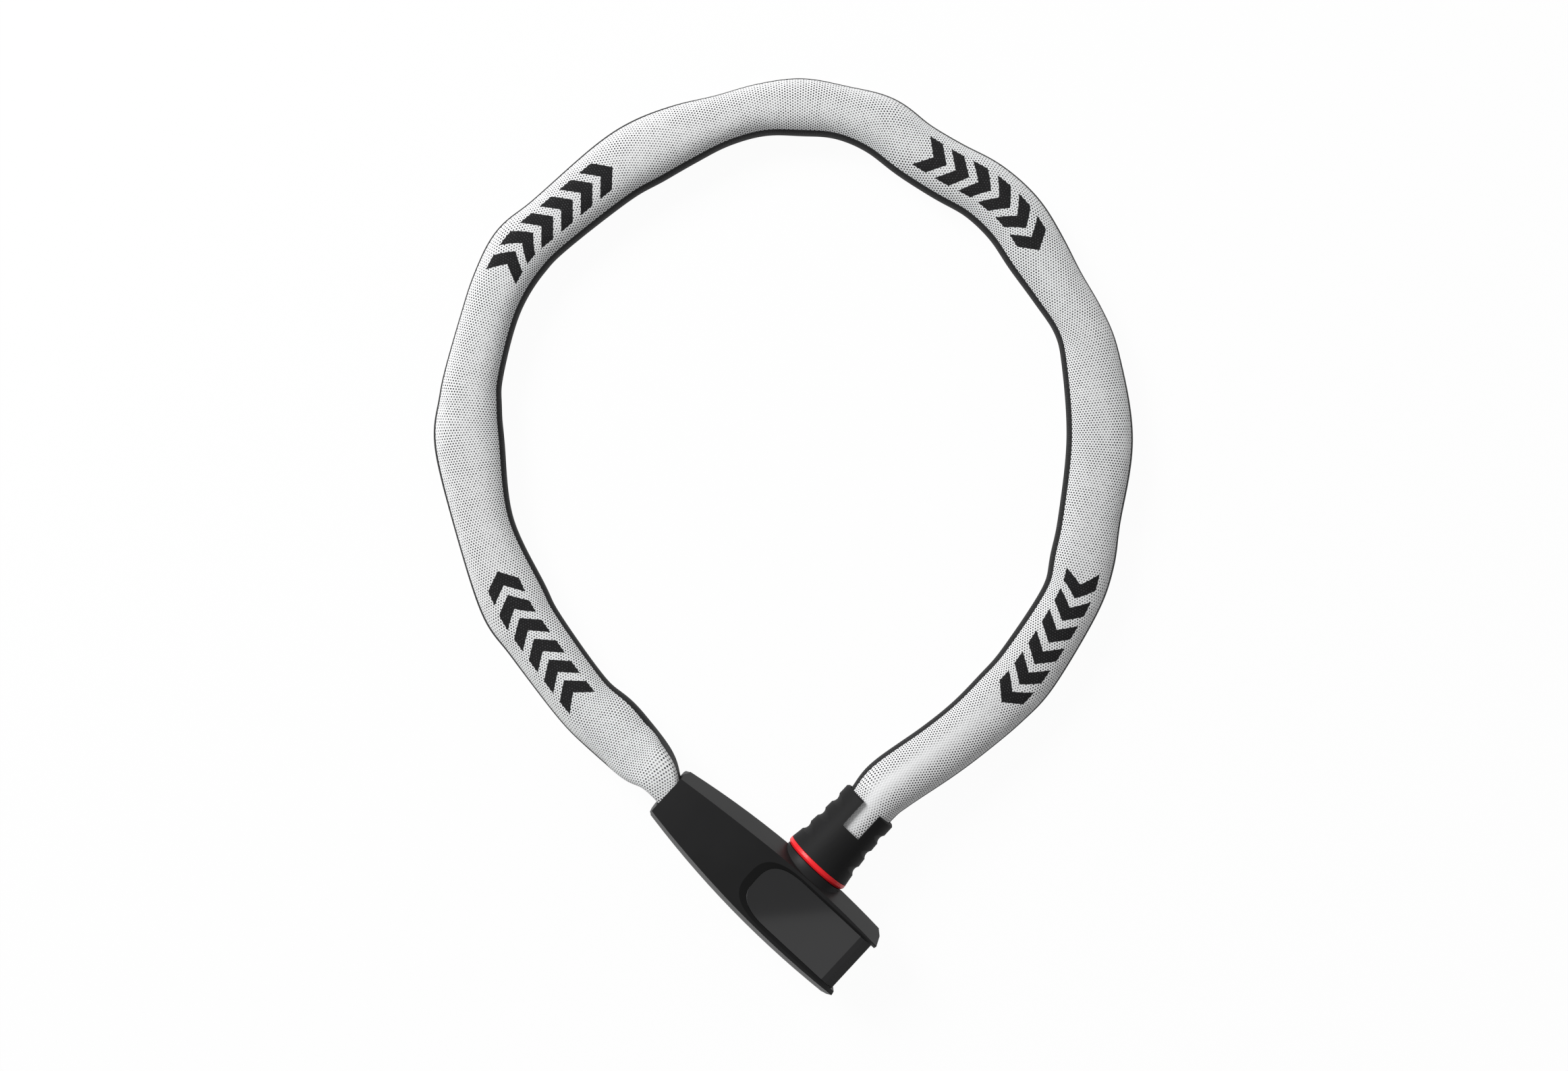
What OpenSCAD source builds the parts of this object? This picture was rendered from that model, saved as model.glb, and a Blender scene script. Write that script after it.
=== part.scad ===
// Bicycle chain lock: a square-link chain in a woven sleeve, closed by a plug that enters the side of a
// slim lock body. It lies on its back: X to the right, Y up the page, Z up, origin under the middle.
// Inside the lock body a is along the body, b is along the plug and c is up (its own X, Y and Z).

/* [Lock body] */
// Distance from the plug's axis to the mouth that the chain leaves by
neck_len = 58.6; // [52:0.2:66]
// Distance from the plug's axis to the lips at the key end
key_end_len = 34.6; // [33:0.2:40]
// Half of the body's greatest width, at mid height
body_half_w = 16.7; // [15.6:0.1:19]
// Half of the body's thickness at the plug
body_half_t = 14.2; // [13.8:0.1:16]
// Place of the greatest width, from the plug's axis towards the key end
widest_at = 8; // [0:1:14]
// Radius of the bowed sides, seen in plan
plan_r = 370; // [300:10:450]
// Lean of the sides, so that the faces are narrower than the middle
side_draft = 14.5; // [8:0.5:18]
// Place where the thickness starts to fall off towards the mouth
taper_at = -17; // [-24:1:-10]
// Radius of that fall
taper_r = 228; // [180:4:320]
// Wall of the soft outer casing
casing_wall = 2.4; // [1.8:0.1:2.8]
// Chamfer on the casing's corners, seen in plan
corner_cut = 1.3; // [1:0.1:3.5]
// Radius of the fillet between the body and the plug's seat
seat_fillet = 9; // [6:0.5:12]

/* [Window and end cap] */
// Left end of the arched window's floor
window_start = -13.8; // [-16:0.2:-10]
// Length over which the arch opens to its full width
arch_len = 15.8; // [12:0.2:20]
// Half width of the window's floor
window_half_w = 10.6; // [9:0.1:11]
// Ramp of the window's wall at the arch, seen in plan
ramp_len = 3.6; // [2:0.1:4.4]
// Ramp of the window's wall along the sides
ramp_side = 1.0; // [0.5:0.1:1.4]
// Depth of the cap's panels below the casing's faces
panel_drop = 1.6; // [1:0.1:2]
// Thickness of the cap's panels
panel_t = 1.4; // [1:0.1:1.6]
// Thickness of the cap's end wall
end_wall_t = 1.8; // [1.2:0.1:2.4]
// Distance of the cap's end wall inside the lips
lip_len = 1.2; // [0.6:0.1:2.4]

/* [Lock work] */
// Radius of the cylinder's barrel
barrel_r = 7.9; // [7.4:0.1:8.4]
// Radius of the turning core
core_r = 6; // [5.6:0.1:6.4]
// Distance from the plug's axis to the barrel's inner end
barrel_at = 12.4; // [12:0.2:14]
// Number of wafers in the core
wafer_count = 5; // [3:1:5]
// Thickness of a wafer
wafer_t = 1.1; // [0.8:0.1:1.4]
// Width of the keyway
keyway_w = 2; // [1.6:0.1:2.4]
// Height of the keyway
keyway_h = 7.2; // [6:0.1:8]
// Throw of the cam's pin
cam_throw = 2; // [1.8:0.05:2.2]
// Radius of the cam's pin
cam_pin_r = 1; // [0.8:0.1:1.2]
// Thickness of the latch plate
latch_t = 3.4; // [2.8:0.1:4]
// Radius of the cross pin that holds the first link
anchor_r = 2.2; // [1.8:0.1:2.5]
// Distance of the first link's bearing point inside the mouth
anchor_in = 12.6; // [12:0.2:14]

/* [Plug] */
// Radius of the locking pin
pin_r = 4.5; // [4:0.1:4.8]
// Reach of the locking pin past the body's middle
pin_reach = 7; // [6:0.2:8]
// Radius of the groove that the latch enters
groove_r = 3; // [2.6:0.1:3.3]
// Length of the grip
grip_len = 28; // [26:0.5:32]
// Radius of the grip at the ring
grip_base_r = 13.3; // [12.6:0.1:13.5]
// Radius of the grip at its mouth
grip_mouth_r = 11.35; // [11.2:0.05:12]
// Radius of the hollow in the grip
grip_bore_r = 10; // [9.8:0.05:10.2]
// Thickness of the coloured ring
ring_t = 2.3; // [1.8:0.1:3]
// Width of the grip's window
grip_window_w = 7.9; // [6:0.1:10]
// Depth of the grip's window from its mouth
grip_window_len = 11.7; // [9:0.1:13]
// Depth of the finger grooves
finger_depth = 0.8; // [0.4:0.05:1]
// Number of finger grooves on each side
finger_count = 3; // [2:1:3]

/* [Chain and sleeve] */
// Thickness of the links' square wire
link_wire = 4; // [3.6:0.1:4.2]
// Inner width of a link
link_gap_w = 6.4; // [6.2:0.1:6.8]
// Wanted distance from link to link
link_pitch = 22.4; // [21.9:0.1:22.7]
// Chamfer on the links' wire
link_chamfer = 0.6; // [0.4:0.05:0.8]
// Play between two hooked links
hook_play = 1.3; // [1.1:0.1:1.6]
// Thickness of the sleeve's cloth
cloth_t = 1.2; // [0.8:0.1:1.3]

/* [Placing] */
// Turn of the lock body in plan
lock_turn = -42.8; // [-48:0.2:-38]
// Crossing of the plug's and the body's axes in plan
lock_at = [0, -134.5]; // [-138:0.5:4]

/* [Hidden] */
slip = 0.05;            // radial clearance of a fitted round
gap = 0.15;             // clearance between fitted flats
soft_gap = 0.45;        // clearance round the cloth
end_gap = 0.4;          // clearance at the cloth's cut end
cylinder_fn = 64;
arc_fn = 360;           // for the large plan arcs
far = 80;               // larger than the body, for cuts
eps = 0.01;

rest_z = body_half_t;   // the body lies on its back

// Rows of the sleeve's middle line, chosen by hand: x, y, z, width and height.
loop_rows = [
    [-53, -82, 12.4, 21, 18.3], [-64, -71, 10.8, 24, 18], [-75, -61, 9.6, 23, 17.8],
    [-93, -37, 8.6, 24, 17.1], [-101, -24, 8.4, 26, 16.7], [-112, 4, 8.1, 22, 16.16],
    [-117.5, 34, 8.1, 26, 16.16], [-118, 49, 8.1, 24.5, 16.16], [-111, 79, 8.1, 20.5, 16.16],
    [-106, 93, 8.1, 21.5, 16.16], [-98.2, 106.4, 8.1, 23.5, 16.16], [-87.3, 116.2, 8.1, 22, 16.16],
    [-64, 135.5, 8.1, 24, 16.16], [-51, 143.5, 8.1, 25, 16.16], [-37, 150, 8.1, 22.5, 16.16],
    [-23, 155, 8.1, 18.8, 16.16], [-8.5, 159, 8.1, 19, 16.16], [6.5, 160, 8.1, 21, 16.16],
    [21.5, 158, 8.1, 19.5, 16.16], [36.5, 153, 8.1, 22, 16.16], [48.5, 144, 8.1, 22, 16.16],
    [61.5, 136, 8.1, 22.5, 16.16], [74.6, 128.8, 8.1, 23, 16.16], [85.9, 118.4, 8.1, 23.5, 16.16],
    [94, 106, 8.1, 23, 16.16], [102, 93, 8.1, 20.5, 16.16], [110, 80, 8.1, 19.5, 16.16],
    [114.5, 66, 8.1, 21.5, 16.16], [118, 36, 8.1, 24.5, 16.16], [114, 5.5, 8.1, 23, 16.16],
    [111.5, -9, 8.1, 24, 16.16], [107, -24, 8.2, 22.5, 16.16], [91, -49.5, 9, 23.8, 17],
    [81, -60.5, 9.7, 23.4, 17.8], [70, -70.5, 10.8, 22, 18], [57.5, -80, 12.2, 21.5, 18]];

// The first rows go with the neck's mouth; they were laid for this length of neck
laid_neck_len = 58.6;
neck_way = [-cos(lock_turn), -sin(lock_turn)];
function neck_push(i) = (neck_len - laid_neck_len) * max(0, 1 - 0.2 * i);

// The mouth of the neck, in the body's own frame
half_wire = link_wire / 2;
link_half_w = link_gap_w / 2 + link_wire;
neck_sleeve_w = 10.6;
neck_sleeve_t = 2 * (link_half_w + soft_gap + cloth_t);
mouth_gap = 0.3;
mouth_half = neck_sleeve_w / 2 + mouth_gap;
mouth_flare = 1.1;
sleeve_in = 6.4;        // length of sleeve inside the neck
plug_sleeve_w = 2 * grip_bore_r - 1.2;
plug_sleeve_t = plug_sleeve_w - 1;

// Heights along the plug's axis b, from the body's middle line
seat_b = body_half_w;               // face that the ring meets
ring_b = seat_b + 0.2;
grip_b = ring_b + ring_t + 0.1;
mouth_b = grip_b + grip_len;
plug_body_top = grip_b + 13.6;
plug_hook_b = grip_b + 6.2;         // the last link's bearing point
plug_pin_top = grip_b + 0.4;
cross_r = 2;
slot_w = link_wire + 0.8;
neck_slot_w = link_wire + 2.2;      // the first link leaves at a slant

// Places along the body's axis a
anchor_at = neck_len - anchor_in;
housing_start = -neck_len + sleeve_in + end_gap;
cap_out = key_end_len - lip_len;
barrel_end = cap_out - 0.6;
barrel_start = barrel_at;
cam_t = 1.8;
cam_a = barrel_start - cam_t - gap; // the cam's free face
yoke_end = cam_a - gap;
latch_travel = 2 * cam_throw * sin(45);
housing_half_t = body_half_t - panel_drop - panel_t - gap;
cover_t = 1.2;
chamber_top = housing_half_t - cover_t - gap;
chamber_low = -8.4;

// Shift that brings the whole outline's middle to the origin
centring = [0.53, -0.8];

function lock_pt(a, b) = lock_at + centring + [a * cos(lock_turn) - b * sin(lock_turn),
                                               a * sin(lock_turn) + b * cos(lock_turn)];
function row_at(a, b, w, t) = concat(lock_pt(a, b), [rest_z, w, t]);

rows = concat(
    [row_at(-anchor_at, 0, neck_sleeve_w, neck_sleeve_t),
     row_at(-neck_len + sleeve_in, 0, neck_sleeve_w, neck_sleeve_t),
     row_at(-neck_len, 0.5, neck_sleeve_w, neck_sleeve_t),
     row_at(-neck_len - 7.5, 2.6, 15.9, neck_sleeve_t + 0.5)],
    [for (i = [0:len(loop_rows) - 1]) loop_rows[i] + concat(centring + neck_way * neck_push(i), [0, 0, 0])],
    [row_at(0, mouth_b + 10, 20.8, 18.4),
     row_at(0, mouth_b, plug_sleeve_w, plug_sleeve_t),
     row_at(0, plug_body_top + gap, plug_sleeve_w, plug_sleeve_t),
     row_at(0, plug_hook_b, plug_sleeve_w, plug_sleeve_t)]);

// A smooth curve through the rows
function blend_row(p, q, r, s, t) = 0.5 * ((2 * q) + (r - p) * t + (2 * p - 5 * q + 4 * r - s) * t * t
                                           + (3 * q - p - 3 * r + s) * t * t * t);
steps = 8;
last_row = len(rows) - 1;
path = concat([for (i = [0:last_row - 1]) for (k = [0:steps - 1])
                  blend_row(rows[max(i - 1, 0)], rows[i], rows[i + 1], rows[min(i + 2, last_row)], k / steps)],
              [rows[last_row]]);
function xyz(p) = [p[0], p[1], p[2]];
run = [for (i = 0, s = 0; i < len(path);
            s = s + (i + 1 < len(path) ? norm(xyz(path[i + 1]) - xyz(path[i])) : 0), i = i + 1) s];
run_len = run[len(run) - 1];
columns = [for (c = [0:4]) [for (i = [0:len(path) - 1]) [run[i], path[i][c]]]];
function at(s) = [for (c = [0:4]) lookup(s, columns[c])];

link_count = 2 * floor(run_len / link_pitch / 2) + 1;  // odd, so that both end links stand on edge
link_step = run_len / link_count;
hooks = [for (i = [0:link_count]) xyz(at(i * link_step))];

function two(i) = str(i < 10 ? "0" : "", i);
function link_name(i) = str("link_", two(i));

// Places its children in the lock body's own frame
module in_lock() {
    translate(concat(lock_at + centring, [rest_z])) rotate([0, 0, lock_turn]) children();
}

// A cylinder along b, from b0 to b1
module along_b(b0, b1, r, fn = cylinder_fn) {
    translate([0, b0, 0]) rotate([-90, 0, 0]) cylinder(h = b1 - b0, r = r, $fn = fn);
}

// A cylinder along a, from a0 to a1
module along_a(a0, a1, r, fn = cylinder_fn) {
    translate([a0, 0, 0]) rotate([0, 90, 0]) cylinder(h = a1 - a0, r = r, $fn = fn);
}

// A box from a low corner to a high corner
module box(low, high) {
    translate(low) cube(high - low);
}

// One bowed side: a wide disc whose rim leans in above and below
module side_disc(side, inset) {
    rim = plan_r - inset;
    lean = far / 2 * tan(side_draft);
    translate([widest_at, -side * (plan_r - body_half_w), 0]) rotate_extrude($fn = arc_fn)
        polygon([[0, -far / 2], [rim - lean, -far / 2], [rim, 0], [rim - lean, far / 2], [0, far / 2]]);
}

// The body's side view: level at the plug, falling off towards the mouth
module side_view(inset) {
    half_t = body_half_t - inset;
    drop = body_half_t - taper_r;
    rotate([90, 0, 0]) linear_extrude(height = far, center = true) {
        translate([taper_at, -half_t]) square([far, 2 * half_t]);
        intersection() {
            translate([taper_at, drop]) circle(r = taper_r - inset, $fn = arc_fn);
            translate([taper_at, -drop]) circle(r = taper_r - inset, $fn = arc_fn);
            translate([taper_at - far, -far / 2]) square([far + eps, far]);
        }
    }
}

// Cuts both corners of one end in plan
module corner_cuts(a, half_w, cut) {
    for (s = [-1, 1]) translate([a, s * half_w, 0]) rotate([0, 0, 45])
        cube([cut * sqrt(2), cut * sqrt(2), far], center = true);
}

function half_w_at(a) = sqrt(pow(plan_r, 2) - pow(a - widest_at, 2)) - plan_r + body_half_w;

// The body's outer form, or the same drawn in by an even wall
module body_form(inset, a0, a1, cut) {
    difference() {
        intersection() {
            side_disc(1, inset);
            side_disc(-1, inset);
            side_view(inset);
            box([a0, -far / 2, -far / 2], [a1, far / 2, far / 2]);
        }
        corner_cuts(a0, half_w_at(a0) - inset, cut);
        corner_cuts(a1, half_w_at(a1) - inset, cut);
    }
}

// The arch: a blunt oval nose that runs into two straight sides
arch_power = 2.9;
arch_steps = 14;
function arch_pt(start, length, half_w, turn) =
    [start + length - length * pow(max(cos(turn), 0), 2 / arch_power),
     half_w * (turn < 0 ? -1 : 1) * pow(abs(sin(turn)), 2 / arch_power)];
function arch(start, length, half_w, end) = concat(
    [[end, -half_w]],
    [for (i = [-arch_steps:arch_steps]) arch_pt(start, length, half_w, 90 * i / arch_steps)],
    [[end, half_w]]);

module arch_slab(grow_start, grow_side, height) {
    linear_extrude(height = height)
        polygon(arch(window_start - grow_start, arch_len + grow_start, window_half_w + grow_side, far));
}

// The window's ramped cut through one face
module window_cut() {
    face = body_half_t;
    translate([0, 0, face - panel_drop - panel_t - 2]) arch_slab(gap, gap, far / 2);
    hull() {
        translate([0, 0, face - panel_drop]) arch_slab(gap, gap, eps);
        translate([0, 0, face + eps]) arch_slab(ramp_len, ramp_side + gap, eps);
    }
}

// The fillet that carries the plug's seat, kept under the faces
module seat_collar() {
    top_r = grip_base_r - 0.5;
    low_b = seat_b - 6;
    intersection() {
        rotate([-90, 0, 0]) rotate_extrude($fn = cylinder_fn) polygon(concat([[0, 0], [top_r, 0]],
            [for (k = [6:-1:0]) let (d = (seat_b - low_b) * k / 6)
                [top_r + seat_fillet - sqrt(pow(seat_fillet, 2) - pow(d, 2)), seat_b - d]], [[0, seat_b]]));
        box([-far, 0, -body_half_t + 0.4], [far, far, body_half_t - 0.4]);
    }
}

// The soft casing, both halves together
module casing() {
    hollow_start = housing_start - gap;
    difference() {
        union() {
            body_form(0, -neck_len, key_end_len, corner_cut);
            seat_collar();
        }
        body_form(casing_wall, hollow_start, cap_out - end_wall_t, 0.8);
        window_cut();
        mirror([0, 0, 1]) window_cut();
        // the key end is open between the lips
        box([cap_out - end_wall_t - gap, -window_half_w - gap, -body_half_t - 1],
            [far, window_half_w + gap, body_half_t + 1]);
        // the mouth that grips the sleeve, flared to the side that it bends to
        translate([0, 0, -neck_sleeve_t / 2 - mouth_gap]) linear_extrude(height = neck_sleeve_t + 2 * mouth_gap)
            polygon([[hollow_start + eps, -mouth_half], [hollow_start + eps, mouth_half],
                     [-neck_len, mouth_half + mouth_flare], [-far, mouth_half + mouth_flare], [-far, -mouth_half]]);
        along_b(0, far, bush_r + gap);
    }
}

module casing_half() {
    intersection() {
        casing();
        box([-far, -far, 0], [far, far, far]);
    }
}

module casing_front() {
    color("#262626") in_lock() casing_half();
}

module casing_back() {
    color("#262626") in_lock() mirror([0, 0, 1]) casing_half();
}

// The glossy cap: two arched panels joined by an end wall with the keyhole
module end_cap() {
    outer = body_half_t - panel_drop;
    inner = outer - panel_t;
    nose_cut = 3.2;
    nose_lean = 22;
    color("#303030") in_lock() difference() {
        union() {
            for (m = [0, 1]) mirror([0, 0, m]) translate([0, 0, inner]) intersection() {
                arch_slab(0, 0, panel_t);
                box([-far, -far, 0], [cap_out, far, far]);
            }
            box([cap_out - end_wall_t, -window_half_w, -outer], [cap_out, window_half_w, outer]);
        }
        along_a(0, far, barrel_r + gap);
        for (s = [-1, 1]) translate([cap_out, 0, s * outer]) rotate([0, s * nose_lean, 0])
            cube([2 * nose_cut + 2, far, 2 * nose_cut * sin(nose_lean)], center = true);
    }
}

bush_r = 6.8;
bush_b0 = 6;
bush_b1 = seat_b - 0.4;

// The housing's block: straight facets that follow the bowed casing inside
block_gap = 0.3;
block_stations = [housing_start, housing_start + 10, housing_start + 22, taper_at, 0, 16,
                  cap_out - end_wall_t - gap];
function half_t_at(a) =
    body_half_t - (a < taper_at ? taper_r - sqrt(pow(taper_r, 2) - pow(a - taper_at, 2)) : 0);
function block_c(a) = min(housing_half_t, half_t_at(a) - casing_wall - block_gap);
function block_b(a) = half_w_at(a) - casing_wall - block_gap - block_c(a) * tan(side_draft);
function even_outline(half) =
    let (n = len(block_stations) - 1)
    concat([for (i = [0:n]) [block_stations[i], -half[i]]], [for (i = [n:-1:0]) [block_stations[i], half[i]]]);

module housing_block() {
    intersection() {
        translate([0, 0, -far / 2]) linear_extrude(height = far)
            polygon(even_outline([for (a = block_stations) block_b(a)]));
        rotate([90, 0, 0]) translate([0, 0, -far / 2]) linear_extrude(height = far)
            polygon(even_outline([for (a = block_stations) block_c(a)]));
    }
}

// The hardened housing that carries the lock work
module lock_housing() {
    color("#8a8d91") in_lock() difference() {
        housing_block();
        // cheeks round the first link, and the bore of its cross pin
        box([-far, -neck_slot_w / 2, -far], [-anchor_at + half_wire * 2 + 1.6, neck_slot_w / 2, far]);
        translate([-anchor_at - anchor_r - slip, 0, 0]) along_b(-far, far, anchor_r + slip);
        // the plug's socket and its bush
        along_b(-pin_reach - 0.6, far, pin_r + slip * 2);
        along_b(bush_b0, far, bush_r + slip);
        // the latch chamber, open to the front under its cover
        box([-7.6, -latch_t / 2 - gap, chamber_low], [yoke_end + eps, latch_t / 2 + gap, far]);
        box([5.6, -yoke_half_b - gap * 2, chamber_low], [cam_a, yoke_half_b + gap * 2, far]);
        box([cover_a0 - gap, -cover_half - gap, housing_half_t - cover_t], [cam_a, cover_half + gap, far]);
        for (s = [-1, 1]) translate([screw_a, s * screw_b, housing_half_t - screw_len - 0.6])
            cylinder(h = far, r = screw_r + slip, $fn = cylinder_fn);
        // the cam's pocket and the cylinder's bore
        along_a(yoke_end, barrel_start + eps, cam_r + gap);
        along_a(barrel_start - eps, far, barrel_r + slip);
        translate([barrel_pin_a, barrel_r, -far]) cylinder(h = 2 * far, r = barrel_pin_r + slip, $fn = cylinder_fn);
    }
}

cover_half = 9.2;
cover_a0 = -13.6;
screw_a = -10.6;
screw_b = 5.6;
screw_r = 1.25;
screw_len = 9;
screw_head_r = 2.1;
screw_head_t = 0.8;

module screw_form(grow) {
    translate([0, 0, -screw_len]) cylinder(h = screw_len, r = screw_r + grow, $fn = 32);
    translate([0, 0, -screw_head_t]) cylinder(h = screw_head_t, r1 = screw_r + grow, r2 = screw_head_r + grow, $fn = 32);
}

module housing_cover() {
    color("#a3a6aa") in_lock() difference() {
        box([cover_a0, -cover_half, housing_half_t - cover_t + slip / 2], [cam_a - gap, cover_half, housing_half_t]);
        for (s = [-1, 1]) translate([screw_a, s * screw_b, housing_half_t + slip / 2]) screw_form(slip);
    }
}

module cover_screws() {
    color("#c9c9cb") in_lock() for (s = [-1, 1]) translate([screw_a, s * screw_b, housing_half_t]) difference() {
        screw_form(0);
        box([-far, -0.3, -screw_head_t / 2], [far, 0.3, far]);
    }
}

module socket_bush() {
    color("#b5a36a") in_lock() difference() {
        along_b(bush_b0 + slip, bush_b1, bush_r);
        along_b(0, far, pin_r + slip * 2);
    }
}

barrel_pin_a = 22;
barrel_pin_r = 1.2;

module cylinder_barrel() {
    color("#b08d3c") in_lock() difference() {
        along_a(barrel_start, barrel_end, barrel_r);
        along_a(0, far, core_r + slip);
        translate([barrel_pin_a, barrel_r, -far]) cylinder(h = 2 * far, r = barrel_pin_r + slip, $fn = cylinder_fn);
    }
}

module barrel_pin() {
    color("#8f9296") in_lock() translate([barrel_pin_a, barrel_r, -housing_half_t + 1])
        cylinder(h = 2 * housing_half_t - 2, r = barrel_pin_r, $fn = 32);
}

wafer_start = barrel_start + 3.4;
wafer_pitch = (barrel_end - wafer_start - 1) / wafer_count;
wafer_half_b = 2.3;
ear_b = 4.2;
ear_t = 0.9;
ear_c = 2.2;
spring_low = -3.2;
tenon = 2;
cam_floor = 0.6;

// The slot of one wafer, with the well of its spring beside it
module wafer_slot(a) {
    box([a - gap / 2, -wafer_half_b - gap / 2, -far], [a + wafer_t + gap / 2, wafer_half_b + gap / 2, far]);
    box([a - gap / 2, 0, spring_low], [a + wafer_t + gap / 2, ear_b + gap / 2, ear_c + ear_t + gap]);
}

module cylinder_core() {
    color("#c9a24a") in_lock() difference() {
        union() {
            along_a(barrel_start, barrel_end + 0.2, core_r);
            box([cam_a + cam_floor + slip, -tenon, -tenon], [barrel_start + eps, tenon, tenon]);
        }
        box([barrel_start + 1.6, -keyway_w / 2, -keyway_h / 2], [far, keyway_w / 2, keyway_h / 2]);
        for (i = [0:wafer_count - 1]) wafer_slot(wafer_start + i * wafer_pitch);
    }
}

// One wafer at the shear line, as the right key holds it
module wafer(a) {
    difference() {
        intersection() {
            along_a(a, a + wafer_t, core_r - slip);
            union() {
                box([a, -wafer_half_b, -far], [a + wafer_t, wafer_half_b, far]);
                box([a, 0, ear_c], [a + wafer_t, ear_b, ear_c + ear_t]);
            }
        }
        box([a - 1, -keyway_w / 2 - 0.2, -keyway_h / 2 + 1.4], [a + wafer_t + 1, keyway_w / 2 + 0.2, keyway_h / 2 - 0.6]);
    }
}

module wafers() {
    color("#d8c27a") in_lock() for (i = [0:wafer_count - 1]) wafer(wafer_start + i * wafer_pitch);
}

// A coil of square-sectioned wire that stands on c
coil_sides = 4;
coil_steps = 8;
function coil_ring(r, wire, rise, turns, i) =
    let (f = i / (turns * coil_steps), t = 360 * turns * f)
    [for (k = [0:coil_sides - 1]) let (q = 360 * (k + 0.5) / coil_sides)
        [(r + wire * cos(q)) * cos(t), (r + wire * cos(q)) * sin(t), rise * f + wire * sin(q)]];
function tube_faces(n, sides) = concat(
    [[for (k = [0:sides - 1]) k]],
    [for (i = [0:n - 2]) for (k = [0:sides - 1])
        [i * sides + k, (i + 1) * sides + k, (i + 1) * sides + (k + 1) % sides, i * sides + (k + 1) % sides]],
    [[for (k = [sides - 1:-1:0]) (n - 1) * sides + k]]);
module coil(r, wire, rise, turns) {
    n = turns * coil_steps + 1;
    polyhedron(points = [for (i = [0:n - 1]) for (p = coil_ring(r, wire, rise, turns, i)) p],
               faces = tube_faces(n, coil_sides), convexity = 10);
}

wafer_spring_r = 0.36;
wafer_spring_wire = 0.12;

module wafer_springs() {
    color("#dddddd") in_lock() for (i = [0:wafer_count - 1])
        translate([wafer_start + i * wafer_pitch + wafer_t / 2, (wafer_half_b + ear_b) / 2, spring_low + 0.2])
            coil(wafer_spring_r, wafer_spring_wire, ear_c - spring_low - 0.4, 5);
}

cam_r = 5;

// The cam on the core's tenon, its pin below the middle when the lock is open
module cam() {
    color("#9a9da1") in_lock() difference() {
        union() {
            along_a(cam_a, barrel_start - gap, cam_r);
            translate([0, cam_throw * cos(45), -cam_throw * sin(45)]) along_a(cam_a - 2.6, cam_a + eps, cam_pin_r, 32);
        }
        box([cam_a + cam_floor, -tenon - slip, -tenon - slip], [far, tenon + slip, tenon + slip]);
    }
}

yoke_half_b = 3.4;
latch_wide_r = pin_r + 0.25;
latch_narrow_r = groove_r + 0.15;

// The latch plate: open round the pin at rest; its narrow slot closes on the groove when it rises
module latch() {
    pin_c = -cam_throw * sin(45);
    color("#7d8085") in_lock() difference() {
        union() {
            box([-7.2, -latch_t / 2, -7.9], [6.2, latch_t / 2, 6]);
            box([6, -yoke_half_b, -5.4], [yoke_end - gap, yoke_half_b, 2.6]);
        }
        along_b(-far, far, latch_wide_r);
        translate([0, 0, -latch_travel]) along_b(-far, far, latch_narrow_r);
        box([6.4, -far, pin_c - cam_pin_r - 0.16], [far, far, pin_c + cam_pin_r + 0.16]);
    }
}

anchor_half = block_b(-anchor_at - anchor_r) - 0.5;

module anchor_pin() {
    color("#8f9296") in_lock() translate([-anchor_at - anchor_r - slip, 0, 0])
        along_b(-anchor_half, anchor_half, anchor_r, 48);
}

groove_b0 = -latch_t / 2 - 0.3;

// The locking pin: rounded-off tip, groove for the latch, shank in the plug's body
module plug_pin() {
    tip = 1.6;
    color("#b9bcc0") in_lock() rotate([-90, 0, 0]) rotate_extrude($fn = cylinder_fn)
        polygon([[0, -pin_reach], [pin_r - tip, -pin_reach], [pin_r, -pin_reach + tip],
                 [pin_r, groove_b0], [groove_r, groove_b0], [groove_r, -groove_b0], [pin_r, -groove_b0],
                 [pin_r, plug_pin_top], [0, plug_pin_top]]);
}

plug_body_r = grip_bore_r - slip;

// The plug's steel body: a fork round the last link
module plug_body() {
    color("#94979b") in_lock() difference() {
        along_b(ring_b, plug_body_top, plug_body_r);
        along_b(0, plug_pin_top + slip, pin_r + slip / 2);
        box([-slot_w / 2, plug_hook_b - link_wire - hook_play, -far], [slot_w / 2, far, far]);
        translate([0, plug_hook_b + cross_r + slip, 0]) rotate([0, 90, 0])
            cylinder(h = far, r = cross_r + slip, center = true, $fn = cylinder_fn);
    }
}

module plug_cross_pin() {
    color("#8f9296") in_lock() translate([0, plug_hook_b + cross_r + slip, 0]) rotate([0, 90, 0])
        cylinder(h = 2 * plug_body_r - 1.6, r = cross_r, center = true, $fn = 48);
}

// The coloured ring between the body and the grip
module red_ring() {
    bevel = 0.8;
    outer = grip_base_r + 0.1;
    color("#e02528") in_lock() rotate([-90, 0, 0]) rotate_extrude($fn = cylinder_fn)
        polygon([[plug_body_r + slip, ring_b], [outer - bevel, ring_b], [outer, ring_b + bevel],
                 [outer, ring_b + ring_t], [plug_body_r + slip, ring_b + ring_t]]);
}

// The grip's outline from ring to mouth, as radius against height
function grip_r_at(f) = grip_mouth_r + (grip_base_r - grip_mouth_r) * pow(1 - f, 2.4);

module grip_turned() {
    edge = 0.6;
    outline = concat([for (i = [0:8]) let (f = i / 9) [grip_r_at(f), grip_b + f * (grip_len - edge)]],
                     [[grip_mouth_r, mouth_b - edge], [grip_mouth_r - edge, mouth_b]]);
    rotate([-90, 0, 0]) rotate_extrude($fn = cylinder_fn)
        polygon(concat([[grip_bore_r, grip_b]], outline, [[grip_bore_r, mouth_b]]));
}

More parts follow.
